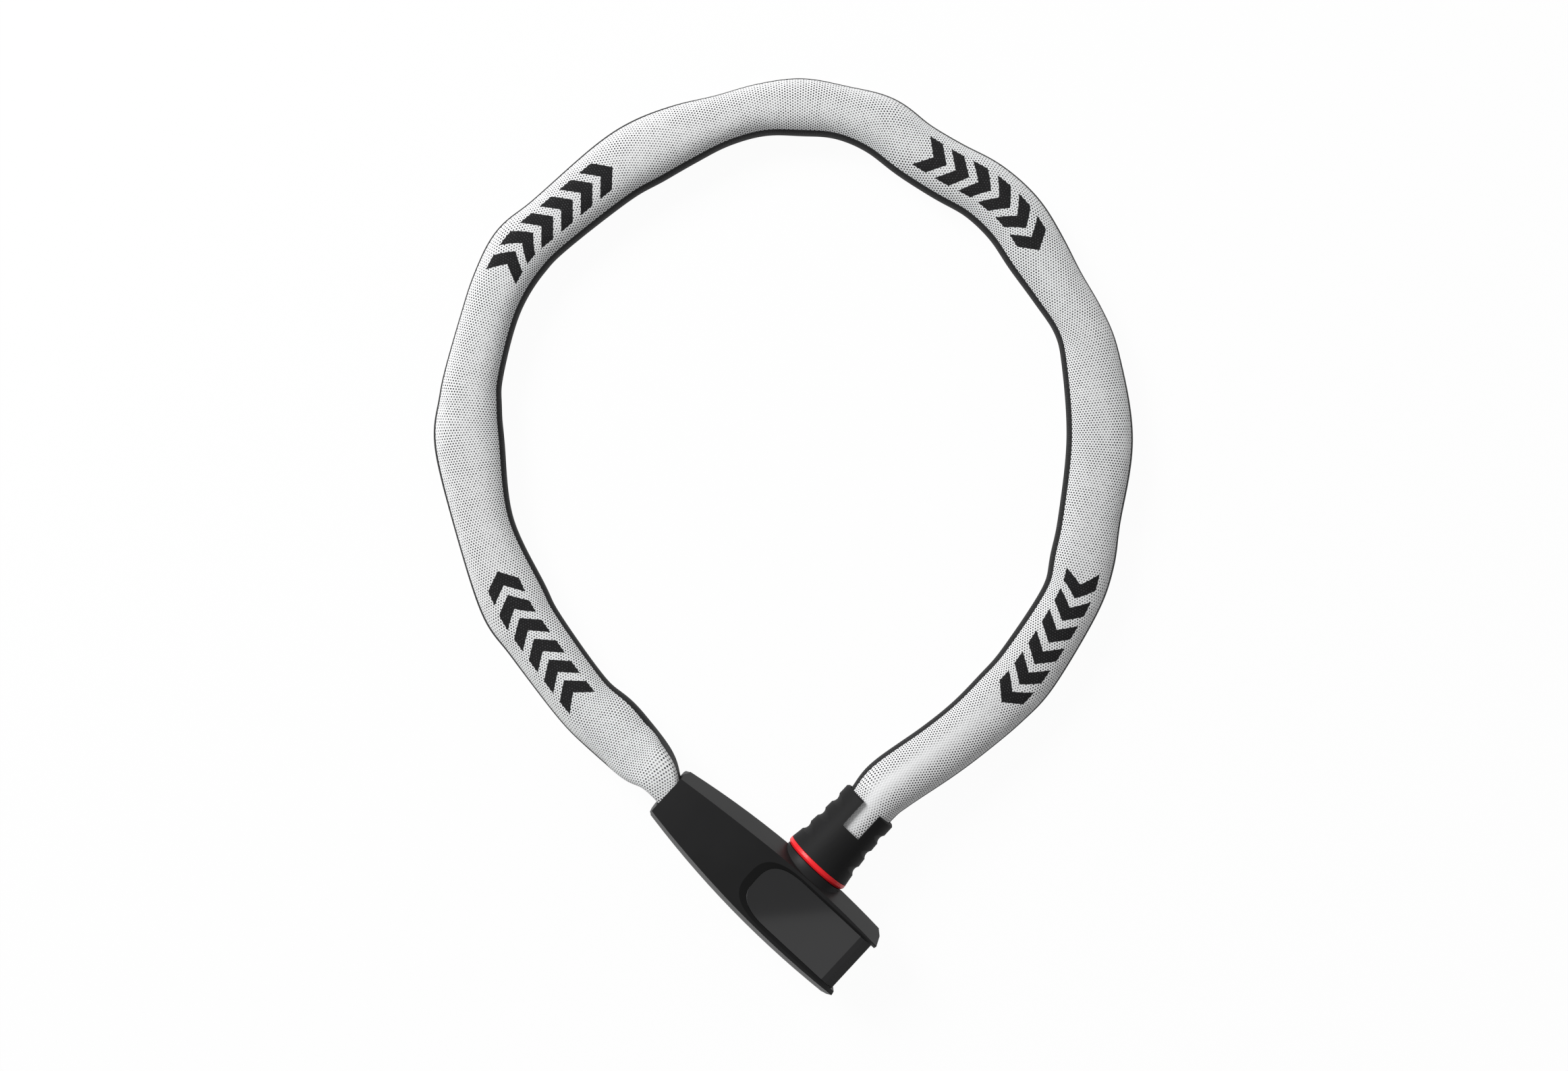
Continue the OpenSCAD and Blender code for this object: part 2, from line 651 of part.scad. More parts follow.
// A finger groove that is deepest at the side and runs out towards the faces
module finger_groove(f) {
    groove = 3;
    run_out = finger_depth / (1 - cos(42));
    b = grip_b + f * grip_len;
    for (s = [-1, 1]) translate([-s * run_out, b, 0]) rotate([-90, 0, 0]) rotate_extrude($fn = cylinder_fn)
        translate([grip_r_at(f) + groove - finger_depth + run_out, 0]) circle(r = groove, $fn = 32);
}

module plug_grip() {
    first_finger = 0.24;
    finger_step = 0.26;
    w = grip_window_w / 2;
    color("#222222") in_lock() difference() {
        grip_turned();
        for (i = [0:finger_count - 1]) finger_groove(first_finger + i * finger_step);
        box([-w, mouth_b - grip_window_len, -far], [w, far, far]);
    }
}

// Sections of the sleeve: a rounded oblong, outer and inner, square to the middle line
sleeve_sides = 12;
sleeve_rings = 52;
section_power = 2.6;
neck_power = 8;
neck_square = 30;       // run over which the squared neck section eases into the loop's
function power_at(s) = section_power + (neck_power - section_power) * max(0, 1 - (s - sleeve_s0) / neck_square);
function section(half_w, half_t, power) =
    [for (k = [0:sleeve_sides - 1]) let (q = 360 * k / sleeve_sides)
        [half_w * sign(cos(q)) * pow(abs(cos(q)), 2 / power),
         half_t * sign(sin(q)) * pow(abs(sin(q)), 2 / power)]];
function heading(s) = let (d = xyz(at(min(s + 1, run_len))) - xyz(at(max(s - 1, 0)))) d / norm(d);
function ring_at(s, wall) =
    let (r = at(s), t = heading(s), side = [-t[1], t[0], 0] / norm([t[0], t[1]]), up = cross(t, side))
    [for (p = section(r[3] / 2 - wall, r[4] / 2 - wall, power_at(s))) xyz(r) + side * p[0] + up * p[1]];
sleeve_s0 = anchor_run(rows[1]);
sleeve_s1 = run_len - anchor_run_end();
function anchor_run(row) = norm(xyz(row) - xyz(rows[0]));
function anchor_run_end() = plug_body_top + gap - plug_hook_b;

module sleeve() {
    m = sleeve_sides;
    from = sleeve_s0 + 14;
    stations = concat([for (d = [0, 3, 6.4, 10]) sleeve_s0 + d],
                      [for (i = [0:sleeve_rings]) from + (sleeve_s1 - from) * i / sleeve_rings]);
    n = len(stations);
    points = concat([for (s = stations) for (p = ring_at(s, 0)) p],
                    [for (s = stations) for (p = ring_at(s, cloth_t)) p]);
    inner = n * m;
    skin = [for (i = [0:n - 2]) for (k = [0:m - 1]) let (j = (k + 1) % m)
        [i * m + k, i * m + j, (i + 1) * m + j, (i + 1) * m + k]];
    lining = [for (i = [0:n - 2]) for (k = [0:m - 1]) let (j = (k + 1) % m)
        [inner + i * m + k, inner + (i + 1) * m + k, inner + (i + 1) * m + j, inner + i * m + j]];
    rims = [for (k = [0:m - 1]) let (j = (k + 1) % m, e = (n - 1) * m)
        each [[k, inner + k, inner + j, j], [e + k, e + j, inner + e + j, inner + e + k]]];
    color("#e4e4e4") polyhedron(points = points, faces = concat(skin, lining, rims), convexity = 12);
}

// The wire's section: a square with its corners taken off
function wire_section() = let (h = half_wire, c = half_wire - link_chamfer)
    [[h, -c], [h, c], [c, h], [-c, h], [-h, c], [-h, -c], [-c, -h], [c, -h]];

module link_crown(bend_r, x, turn) {
    rotate([0, 0, turn]) translate([x, 0, 0]) rotate([0, 0, -90])
        rotate_extrude(angle = 180, $fn = cylinder_fn) translate([bend_r, 0]) polygon(wire_section());
}

module link_side(bend_r, straight, side) {
    translate([-straight / 2, side * bend_r, 0]) rotate([90, 0, 90])
        linear_extrude(height = straight) polygon(wire_section());
}

// One chain link, long side along X, flat in the XY plane
module chain_link() {
    bend_r = link_gap_w / 2 + half_wire;
    straight = 2 * round(50 * (link_step + hook_play - link_gap_w)) / 100;
    union() {
        link_crown(bend_r, straight / 2, 0);
        link_side(bend_r, straight, 1);
        link_side(bend_r, straight, -1);
        link_crown(bend_r, straight / 2, 180);
    }
}

// The chain lies flat on edge at its ends and leans at 45 degrees along the table
twist_per_link = 9;
function lean(i) = min(45, twist_per_link * min(i - 1, link_count - i));
module placed_link(i) {
    p = hooks[i - 1];
    q = hooks[i];
    d = q - p;
    color("#9b9ea3") translate((p + q) / 2)
        rotate([0, -atan2(d[2], norm([d[0], d[1]])), atan2(d[1], d[0])])
            rotate([90 * (i % 2) + lean(i), 0, 0]) chain_link();
}

casing_front();
casing_back();
end_cap();
lock_housing();
housing_cover();
cover_screws();
socket_bush();
cylinder_barrel();
barrel_pin();
cylinder_core();
wafers();
wafer_springs();
cam();
latch();
anchor_pin();
plug_pin();
plug_body();
plug_cross_pin();
red_ring();
plug_grip();
sleeve();
for (i = [1:link_count]) placed_link(i);
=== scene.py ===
"""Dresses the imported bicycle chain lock: woven sleeve, moulded lock body, plug and the metalwork inside."""

from __future__ import annotations

import logging
import math
from dataclasses import dataclass, field
from enum import Enum

import bmesh
import bpy
import numpy as np
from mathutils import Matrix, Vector


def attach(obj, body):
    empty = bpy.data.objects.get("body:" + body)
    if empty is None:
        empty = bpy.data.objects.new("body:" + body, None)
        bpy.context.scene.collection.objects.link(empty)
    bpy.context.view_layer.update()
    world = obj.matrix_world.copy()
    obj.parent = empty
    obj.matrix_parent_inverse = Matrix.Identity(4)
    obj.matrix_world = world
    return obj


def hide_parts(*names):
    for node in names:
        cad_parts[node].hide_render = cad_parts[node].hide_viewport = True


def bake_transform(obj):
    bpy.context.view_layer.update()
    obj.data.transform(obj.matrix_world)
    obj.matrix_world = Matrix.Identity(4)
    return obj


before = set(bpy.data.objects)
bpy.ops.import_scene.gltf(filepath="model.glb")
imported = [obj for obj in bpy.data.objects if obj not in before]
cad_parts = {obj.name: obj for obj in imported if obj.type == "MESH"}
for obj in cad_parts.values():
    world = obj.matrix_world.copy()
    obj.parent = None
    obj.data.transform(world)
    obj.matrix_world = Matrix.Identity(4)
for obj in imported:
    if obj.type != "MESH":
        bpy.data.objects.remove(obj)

LOG = logging.getLogger("chain_lock")
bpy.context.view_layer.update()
MM = 0.001
WHITE = (1.0, 1.0, 1.0)


class Axis(Enum):
    """The way a tool ran over a metal part, in the lock body's own frame."""

    ALONG_BODY = (0.7337, -0.6795, 0.0)
    ALONG_PLUG = (0.6795, 0.7337, 0.0)
    UPRIGHT = (0.0, 0.0, 1.0)


class Bench:
    """Builds one node material, piece by piece."""

    def __init__(self, name: str) -> None:
        """Starts an empty material.

        Args:
            name: The material's name.
        """
        self.material = bpy.data.materials.new(name)
        self.material.use_nodes = True
        self.tree = self.material.node_tree
        self.tree.nodes.clear()
        self.out = self.tree.nodes.new("ShaderNodeOutputMaterial")

    def node(self, kind: str, **settings: object) -> bpy.types.Node:
        """Adds a node.

        Args:
            kind: The node's type, without its ShaderNode prefix.
            settings: Attributes to set on it.

        Returns:
            The new node.
        """
        made = self.tree.nodes.new("ShaderNode" + kind)
        for key, value in settings.items():
            setattr(made, key, value)
        return made

    def feed(self, socket: bpy.types.NodeSocket, value: object) -> None:
        """Links a socket to another, or sets its value.

        Args:
            socket: The input socket.
            value: A socket to link it to, or the value that it is set to.
        """
        if isinstance(value, bpy.types.NodeSocket):
            self.tree.links.new(value, socket)
        else:
            socket.default_value = value

    def math(self, operation: str, *values: object, clamp: bool = False) -> bpy.types.NodeSocket:
        """Adds a Math node.

        Args:
            operation: Its operation.
            values: Numbers or sockets for its inputs.
            clamp: Whether the result is held between 0 and 1.

        Returns:
            Its output.
        """
        made = self.node("Math", operation=operation, use_clamp=clamp)
        for socket, value in zip(made.inputs, values):
            self.feed(socket, value)
        return made.outputs[0]

    def remap(self, value: object, low: float, high: float, to_low: float = 0.0,
              to_high: float = 1.0) -> bpy.types.NodeSocket:
        """Maps a range of values to another, eased in and out and held at its ends.

        Args:
            value: The number or socket to map.
            low: Where the range starts.
            high: Where it ends.
            to_low: What low becomes.
            to_high: What high becomes.

        Returns:
            The mapped value.
        """
        made = self.node("MapRange", interpolation_type="SMOOTHSTEP", clamp=True)
        for socket, number in zip(made.inputs, (value, low, high, to_low, to_high)):
            self.feed(socket, number)
        return made.outputs[0]

    def mix(self, factor: object, first: object, second: object) -> bpy.types.NodeSocket:
        """Mixes two colours.

        Args:
            factor: How much of the second shows.
            first: A colour or socket.
            second: A colour or socket.

        Returns:
            The mixed colour.
        """
        made = self.node("Mix", data_type="RGBA", blend_type="MIX")
        self.feed(made.inputs["Factor"], factor)
        for socket, value in ((made.inputs[6], first), (made.inputs[7], second)):
            self.feed(socket, rgba(value) if isinstance(value, tuple) else value)
        return made.outputs[2]

    def noise(self, vector: bpy.types.NodeSocket, scale: float, detail: float = 3.0,
              roughness: float = 0.55) -> bpy.types.NodeSocket:
        """Adds a Noise Texture and gives its value.

        Args:
            vector: Where it is read.
            scale: Its scale, per metre or per unit of the vector.
            detail: Its octaves.
            roughness: How strong the finer ones are.

        Returns:
            The noise, about 0.5 on average.
        """
        made = self.node("TexNoise")
        self.feed(made.inputs["Vector"], vector)
        for key, value in (("Scale", scale), ("Detail", detail), ("Roughness", roughness)):
            made.inputs[key].default_value = value
        return made.outputs[0]

    def bump(self, height: bpy.types.NodeSocket, distance: float, strength: float = 1.0) -> bpy.types.NodeSocket:
        """Adds a Bump node.

        Args:
            height: The relief, from 0 to 1.
            distance: Its depth in metres.
            strength: How strongly it shows.

        Returns:
            The bumped normal.
        """
        made = self.node("Bump")
        made.inputs["Strength"].default_value = strength
        made.inputs["Distance"].default_value = distance
        self.feed(made.inputs["Height"], height)
        return made.outputs["Normal"]

    def along(self, place: bpy.types.NodeSocket, axis: Axis) -> bpy.types.NodeSocket:
        """Measures how far a place lies along an axis.

        Args:
            place: The place's vector.
            axis: The axis.

        Returns:
            The distance along it.
        """
        made = self.node("VectorMath", operation="DOT_PRODUCT")
        self.feed(made.inputs[0], place)
        made.inputs[1].default_value = axis.value
        return made.outputs["Value"]

    def surface(self, **values: object) -> bpy.types.Material:
        """Closes the material with a Principled shader.

        Args:
            values: Its inputs, with spaces in their names written as underscores.

        Returns:
            The finished material.
        """
        shader = self.node("BsdfPrincipled")
        for key, value in values.items():
            self.feed(shader.inputs[key.replace("_", " ")], rgba(value) if isinstance(value, tuple) else value)
        self.tree.links.new(shader.outputs[0], self.out.inputs[0])
        return self.material


def rgba(colour: tuple[float, ...]) -> tuple[float, float, float, float]:
    """Gives a colour an alpha of 1."""
    return (colour[0], colour[1], colour[2], 1.0)


@dataclass(frozen=True)
class Moulding:
    """A moulded plastic or rubber, with its grain and handling marks.

    depth is the grain's relief in metres, and gloss the shader's specular level. fold is where a leaning strip starts
    along the lock body, in metres, and how steeply its shading leans.
    """

    name: str
    colour: tuple[float, float, float]
    roughness: float
    grain: float = 2600.0
    depth: float = 0.00002
    mottle: float = 0.12
    coat: float = 0.0
    coat_rough: float = 0.12
    gloss: float = 0.32
    fold: tuple[float, float] | None = None
    cloud: float = 38.0
    rubbed: float = 0.1
    grain_strength: float = 0.6

    def relief(self, bench: Bench, place: bpy.types.NodeSocket) -> bpy.types.NodeSocket:
        """Gives the surface its grain, or the lean of its folded strip.

        Args:
            bench: The material being built.
            place: The object's own coordinates.

        Returns:
            The normal.
        """
        if self.fold is None:
            return bench.bump(bench.noise(place, self.grain, 2.0, 0.5), self.depth, self.grain_strength)
        start, slope = self.fold
        past = bench.math("SUBTRACT", bench.along(place, Axis.ALONG_BODY), start)
        drop = bench.math("MAXIMUM", past, 0.0)
        return bench.bump(bench.math("MULTIPLY", drop, -slope), 1.0)

    def build(self) -> bpy.types.Material:
        """Builds the material.

        Returns:
            The finished material.
        """
        bench = Bench(self.name)
        place = bench.node("TexCoord").outputs["Object"]
        broad = bench.noise(place, self.cloud, 4.0)
        darker = tuple(c * (1.0 - self.mottle) for c in self.colour)
        lighter = tuple(min(1.0, c * (1.0 + self.mottle)) for c in self.colour)
        colour = bench.mix(bench.remap(broad, 0.35, 0.65), darker, lighter)
        rough = bench.math("ADD", self.roughness - self.rubbed / 2, bench.math("MULTIPLY", broad, self.rubbed))
        normal = self.relief(bench, place)
        values = {"Base_Color": colour, "Roughness": rough, "Normal": normal, "Coat_Weight": self.coat,
                  "Coat_Roughness": self.coat_rough, "Specular_IOR_Level": self.gloss}
        if self.fold is not None:
            values["Coat_Normal"] = normal
        return bench.surface(**values)


@dataclass(frozen=True)
class Metal:
    """A worked metal with its tool marks along one axis."""

    name: str
    colour: tuple[float, float, float]
    roughness: float
    axis: Axis = Axis.UPRIGHT
    lines: float = 5200.0
    line_depth: float = 0.000012
    cloud: float = 160.0
    stain: float = 0.18

    def build(self) -> bpy.types.Material:
        """Builds the material.

        Returns:
            The finished material.
        """
        bench = Bench(self.name)
        place = bench.node("TexCoord").outputs["Object"]
        spread = bench.node("CombineXYZ")
        bench.feed(spread.inputs[0], bench.along(place, self.axis))
        marks = bench.noise(spread.outputs[0], self.lines, 2.0)
        cloud = bench.noise(place, self.cloud, 4.0)
        dark = tuple(c * (1.0 - self.stain) for c in self.colour)
        colour = bench.mix(bench.remap(cloud, 0.35, 0.7), dark, self.colour)
        rough = bench.math("ADD", self.roughness - 0.06, bench.math("MULTIPLY", marks, 0.14))
        return bench.surface(Base_Color=colour, Metallic=1.0, Roughness=rough,
                             Normal=bench.bump(marks, self.line_depth, 0.5))


@dataclass(frozen=True)
class Cloth:
    """The sleeve's plain weave: white yarn with dark flecks on the faces, black yarn along the sides.

    Lengths are in millimetres, apart from relief, which is in metres.
    """

    name: str = "woven_sleeve"
    row: float = 0.92
    column: float = 1.06
    fleck_wide: float = 0.36
    fleck_tall: float = 0.33
    fleck_strength: float = 0.68
    # Painted shade: how much stronger and darker the flecks grow where shade falls.
    fleck_shade_strength: float = 0.5
    cloud: float = 90.0
    border_blur: float = 0.12
    relief: float = 0.0002
    white: tuple[float, float, float] = (0.92, 0.925, 0.93)
    shade: tuple[float, float, float] = (0.02, 0.02, 0.022)
    black: tuple[float, float, float] = (0.007, 0.007, 0.0075)
    grey: tuple[float, float, float] = (0.05, 0.05, 0.052)
    motif_half: float = 6.3
    motif_long: float = 28.5
    motif_step: float = 9.5
    motif_fill: float = 0.6
    motif_slant: float = 0.85

    def flecks(self, bench: Bench, x: bpy.types.NodeSocket,
               y: bpy.types.NodeSocket) -> tuple[bpy.types.NodeSocket, ...]:
        """Draws the staggered flecks of the weave.

        Args:
            bench: The material being built.
            x: Millimetres round the sleeve.
            y: Millimetres along it.

        Returns:
            The fleck's distance from its middle, the place within its row, and a chance value for each fleck.
        """
        rows = bench.math("DIVIDE", y, self.row)
        row = bench.math("FLOOR", rows)
        shift = bench.math("MULTIPLY", bench.math("MODULO", bench.math("ADD", row, 4000.0), 2.0), 0.5)
        columns = bench.math("ADD", bench.math("DIVIDE", x, self.column), shift)
        across = bench.math("SUBTRACT", bench.math("FRACT", bench.math("ADD", columns, 500.0)), 0.5)
        within = bench.math("SUBTRACT", bench.math("FRACT", bench.math("ADD", rows, 500.0)), 0.5)
        flat = bench.math("POWER", bench.math("ABSOLUTE", bench.math("DIVIDE", across, self.fleck_wide)), 2.0)
        tall = bench.math("POWER", bench.math("ABSOLUTE", bench.math("DIVIDE", within, self.fleck_tall)), 2.0)
        reach = bench.math("SQRT", bench.math("ADD", flat, tall))
        cell = bench.node("CombineXYZ")
        bench.feed(cell.inputs[0], bench.math("FLOOR", columns))
        bench.feed(cell.inputs[1], row)
        chance = bench.node("TexWhiteNoise", noise_dimensions="2D")
        bench.feed(chance.inputs[0], cell.outputs[0])
        return reach, within, chance.outputs[0]

    def motif(self, bench: Bench) -> bpy.types.NodeSocket:
        """Draws the plain chevrons woven in black on the sleeve's face.

        Args:
            bench: The material being built.

        Returns:
            1 where the yarn is black.
        """
        place = bench.node("SeparateXYZ")
        bench.feed(place.inputs[0], bench.node("UVMap", uv_map="motif").outputs[0])
        side = bench.math("ABSOLUTE", place.outputs[0])
        point = bench.math("ADD", place.outputs[1], bench.math("MULTIPLY", side, self.motif_slant))
        inside = bench.math("LESS_THAN", side, self.motif_half)
        ends = bench.math("LESS_THAN", bench.math("ABSOLUTE", point), self.motif_long)
        ahead = bench.math("ADD", point, 10 * self.motif_step)
        turn = bench.math("FRACT", bench.math("DIVIDE", ahead, self.motif_step))
        bars = bench.math("LESS_THAN", turn, self.motif_fill)
        return bench.math("MULTIPLY", bench.math("MULTIPLY", inside, ends), bars)

    def build(self) -> bpy.types.Material:
        """Builds the material.

        Returns:
            The finished material.
        """
        bench = Bench(self.name)
        place = bench.node("SeparateXYZ")
        bench.feed(place.inputs[0], bench.node("UVMap", uv_map="weave").outputs[0])
        reach, within, chance = self.flecks(bench, place.outputs[0], place.outputs[1])
        # The cloth attribute carries painted light for the flecks: its red is the painted highlight on the lit crest,
        # its green the painted shade.
        state = bench.node("Attribute", attribute_name="cloth")
        parts = bench.node("SeparateColor")
        bench.feed(parts.inputs[0], state.outputs["Color"])
        crest_highlight, shaded_flecks = parts.outputs[0], parts.outputs[1]
        side = bench.node("Attribute", attribute_name="side_mm").outputs["Fac"]
        solid = bench.node("TexCoord").outputs["Object"]
        cloud = bench.noise(solid, self.cloud)
        fleck = bench.remap(reach, 0.7, 1.08, 1.0, 0.0)
        # Painted shade: the flecks grow stronger and darker where shade falls.
        strength = bench.math("ADD", self.fleck_strength, bench.math("MULTIPLY", shaded_flecks, self.fleck_shade_strength))
        strength = bench.math("ADD", strength, bench.math("MULTIPLY", bench.math("SUBTRACT", cloud, 0.5), 0.5))
        strength = bench.math("ADD", strength, bench.math("MULTIPLY", bench.math("SUBTRACT", chance, 0.5), 0.25))
        # Painted highlight: the flecks are taken out where the crest is lit.
        strength = bench.math("MULTIPLY", strength, bench.math("SUBTRACT", 1.0, crest_highlight), clamp=True)
        # Painted shade: the furrows between the rows are darkened towards the fleck colour, more where the flecks
        # carry painted shade.
        furrow = bench.remap(bench.math("ABSOLUTE", within), 0.36, 0.5)
        pale = bench.math("MULTIPLY", furrow, bench.math("MULTIPLY", strength, 0.22))
        face = bench.mix(bench.math("MULTIPLY", fleck, strength), self.white, self.shade)
        face = bench.mix(pale, face, self.shade)
        dots = bench.remap(reach, 0.45, 0.95, 1.0, 0.0)
        glint = bench.math("MULTIPLY", dots, bench.remap(chance, 0.0, 1.0, 0.35, 1.0))
        dark = bench.mix(glint, self.black, self.grey)
        border = bench.remap(side, -self.border_blur, self.border_blur, 1.0, 0.0)
        mask = bench.math("MAXIMUM", border, self.motif(bench))
        colour = bench.mix(mask, face, dark)
        hollow = bench.math("MAXIMUM", bench.math("MULTIPLY", fleck, 0.7), furrow)
        height = bench.math("SUBTRACT", 1.0, hollow)
        return bench.surface(Base_Color=colour, Roughness=0.72, Normal=bench.bump(height, self.relief, 0.5),
                             Sheen_Weight=0.02, Sheen_Roughness=0.5, Specular_IOR_Level=0.2)


@dataclass
class Studio:
    """Pale floor, soft lamps and the camera that looks straight down, in metres and watts.

    card_edge is the middle of the card's near edge, and card_lean its turn in degrees.
    """

    plane_z: float = 0.0142
    rise: float = 0.700
    lens: float = 43.37
    aim: tuple[float, float] = (0.00053, -0.0008)
    card_size: tuple[float, float] = (0.6, 0.26)
    card_power: float = 0.29
    card_edge: tuple[float, float, float] = (0.0141, -0.4342, 1.5)
    card_lean: float = 6.4
    floor_half: float = 6.0
    floor_colour: tuple[float, float, float] = (0.86, 0.86, 0.86)
    floor_glow: float = 0.96
    surround: float = 0.25

    def camera(self) -> None:
        """Makes the camera at the photograph's place."""
        data = bpy.data.cameras.new("camera")
        data.lens = self.lens
        data.sensor_width = 36.0
        data.clip_start = 0.01
        made = bpy.data.objects.new("camera", data)
        made.location = (self.aim[0], self.aim[1], self.plane_z + self.rise)
        bpy.context.collection.objects.link(made)
        bpy.context.scene.camera = made

    def lamp(self, name: str, place: Vector, size: tuple[float, float], power: float) -> bpy.types.Object:
        """Makes an area lamp that faces the lock.

        Args:
            name: The lamp's name.
            place: Where it stands.
            size: Its width and height.
            power: Its power.

        Returns:
            The lamp.
        """
        data = bpy.data.lights.new(name, "AREA")
        data.shape = "RECTANGLE"
        data.size, data.size_y = size
        data.energy = power
        made = bpy.data.objects.new(name, data)
        made.location = place
        made.rotation_euler = (-place).to_track_quat("-Z", "Y").to_euler()
        bpy.context.collection.objects.link(made)
        return made

    def card(self) -> None:
        """Hangs the soft card whose straight edge shows in the glossy cap, facing straight down."""
        lean = math.radians(self.card_lean)
        inward = Vector((math.sin(lean), -math.cos(lean), 0.0))
        middle = Vector(self.card_edge) + self.card_size[1] / 2 * inward
        made = self.lamp("card", middle, self.card_size, self.card_power)
        made.rotation_euler = (0.0, 0.0, lean)

    def floor(self) -> None:
        """Makes the pale floor, which shows near white and keeps a faint shadow."""
        mesh = bpy.data.meshes.new("floor")
        half = self.floor_half
        corners = [(-half, -half, 0), (half, -half, 0), (half, half, 0), (-half, half, 0)]
        mesh.from_pydata(corners, [], [(0, 1, 2, 3)])
        made = bpy.data.objects.new("floor", mesh)
        bpy.context.collection.objects.link(made)
        bench = Bench("pale_floor")
        seen = bench.node("LightPath")
        rays = bench.math("MAXIMUM", seen.outputs["Is Camera Ray"], seen.outputs["Is Glossy Ray"])
        rays = bench.math("MAXIMUM", rays, seen.outputs["Is Transmission Ray"])
        matt = bench.node("BsdfDiffuse")
        matt.inputs[0].default_value = rgba(self.floor_colour)
        glow = bench.node("Emission")
        glow.inputs[0].default_value = rgba(WHITE)
        both = bench.node("MixShader")
        bench.feed(both.inputs[0], bench.math("MULTIPLY", rays, self.floor_glow))
        bench.tree.links.new(matt.outputs[0], both.inputs[1])
        bench.tree.links.new(glow.outputs[0], both.inputs[2])
        bench.tree.links.new(both.outputs[0], bench.out.inputs[0])
        mesh.materials.append(bench.material)

    def world(self) -> None:
        """Sets an even pale surround."""
        made = bpy.data.worlds.new("surround")
        made.use_nodes = True
        back = made.node_tree.nodes["Background"]
        back.inputs[0].default_value = rgba(WHITE)
        back.inputs[1].default_value = self.surround
        bpy.context.scene.world = made

    def build(self) -> None:
        """Sets up floor, surround and lamps."""
        self.floor()
        self.world()
        self.lamp("key", Vector((-1.05, 1.0, 1.15)), (0.8, 0.8), 37.0)
        self.lamp("fill", Vector((0.9, 0.95, 0.7)), (0.5, 1.2), 2.0)
        self.card()
        bpy.context.scene.view_settings.view_transform = "Standard"


@dataclass
class Dresser:
    """Gives the CAD pieces their finishes, and puts rounded copies in the place of some that show.

    segments is the number of steps in a rounded edge, and sharp the angle in degrees past which an edge is rounded.
    Points closer than weld metres become one, and faces within level degrees of each other join.
    """

    segments: int = 3
    sharp: float = 24.0
    weld: float = 2e-6
    level: float = 0.6
    finishes: dict[str, bpy.types.Material] = field(default_factory=dict)

    def finish(self, recipe: Moulding | Metal | Cloth) -> bpy.types.Material:
        """Gives a recipe's material, built once.

        Args:
            recipe: The finish.

        Returns:
            Its material.
        """
        if recipe.name not in self.finishes:
            self.finishes[recipe.name] = recipe.build()
        return self.finishes[recipe.name]

    def keep(self, node: str, recipe: Moulding | Metal) -> None:
        """Puts a finish on a CAD node that stays as it is.

        Args:
            node: The CAD node.
            recipe: Its finish.
        """
        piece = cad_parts[node]
        material = self.finish(recipe)
        for place in piece.material_slots:
            place.material = material
        LOG.info("kept %s in %s", node, recipe.name)

    def rounded(self, node: str, recipe: Moulding | Metal, body: str, edge: float) -> None:
        """Replaces a CAD node by a copy with its edges rounded over.

        Args:
            node: The CAD node.
            recipe: Its finish.
            body: The body it rides on.
            edge: The widest that its edges are rounded, in millimetres.
        """
        mesh = bpy.data.meshes.new(node + "_dressed")
        form = bmesh.new()
        form.from_mesh(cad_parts[node].data)
        bmesh.ops.remove_doubles(form, verts=form.verts, dist=self.weld)
        bmesh.ops.dissolve_limit(form, angle_limit=math.radians(self.level), verts=form.verts, edges=form.edges)
        form.to_mesh(mesh)
        form.free()
        mesh.materials.clear()
        mesh.materials.append(self.finish(recipe))
        piece = bpy.data.objects.new(node + "_dressed", mesh)
        bpy.context.collection.objects.link(piece)
        bevel = piece.modifiers.new("edges", "BEVEL")
        bevel.width = edge * MM
        bevel.segments = self.segments
        bevel.limit_method = "ANGLE"
        bevel.angle_limit = math.radians(self.sharp)
        bevel.miter_outer = "MITER_ARC"
        bevel.harden_normals = False
        bevel.use_clamp_overlap = True
        for face in mesh.polygons:
            face.use_smooth = True
        even = piece.modifiers.new("shading", "WEIGHTED_NORMAL")
        even.keep_sharp = True
        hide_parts(node)
        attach(piece, body)
        LOG.info("rounded %s by up to %.2f mm", node, edge)


@dataclass
class LockBody:
    """The lock body: soft casing, glossy cap and the work inside."""

    casing: Moulding = Moulding("soft_touch_casing", (0.0164, 0.0164, 0.0168), 0.46, depth=0.000006, mottle=0.05,
                                gloss=0.12)
    cap: Moulding = Moulding("satin_cap", (0.011, 0.011, 0.0118), 0.34, depth=0.000005, mottle=0.06, coat=0.9,
                             coat_rough=0.05, fold=(0.1206, 0.14))
    steel: Metal = Metal("phosphated_steel", (0.30, 0.31, 0.33), 0.5, Axis.ALONG_BODY)
    bright: Metal = Metal("plated_steel", (0.62, 0.63, 0.65), 0.28, Axis.UPRIGHT)
    hard: Metal = Metal("ground_steel", (0.42, 0.43, 0.45), 0.3, Axis.ALONG_PLUG)
    brass: Metal = Metal("turned_brass", (0.72, 0.52, 0.24), 0.3, Axis.ALONG_BODY)
    wafer: Metal = Metal("stamped_brass", (0.78, 0.64, 0.36), 0.34, Axis.UPRIGHT)
    bush: Metal = Metal("bronze_bush", (0.58, 0.44, 0.24), 0.36, Axis.ALONG_PLUG)

    def build(self, dresser: Dresser) -> None:
        """Dresses the whole lock body.

        Args:
            dresser: Keeps the finishes.
        """
        dresser.rounded("casing_front", self.casing, "lock_body", 0.45)
        dresser.rounded("casing_back", self.casing, "lock_body", 0.45)
        dresser.keep("end_cap", self.cap)
        for node, recipe in (("lock_housing", self.steel), ("housing_cover", self.bright),
                             ("cover_screws", self.bright), ("socket_bush", self.bush),
                             ("cylinder_barrel", self.brass), ("barrel_pin", self.bright),
                             ("cylinder_core", self.brass), ("wafers", self.wafer),
                             ("wafer_springs", self.bright), ("cam", self.bright), ("latch", self.hard),
                             ("anchor_pin", self.hard)):
            dresser.keep(node, recipe)


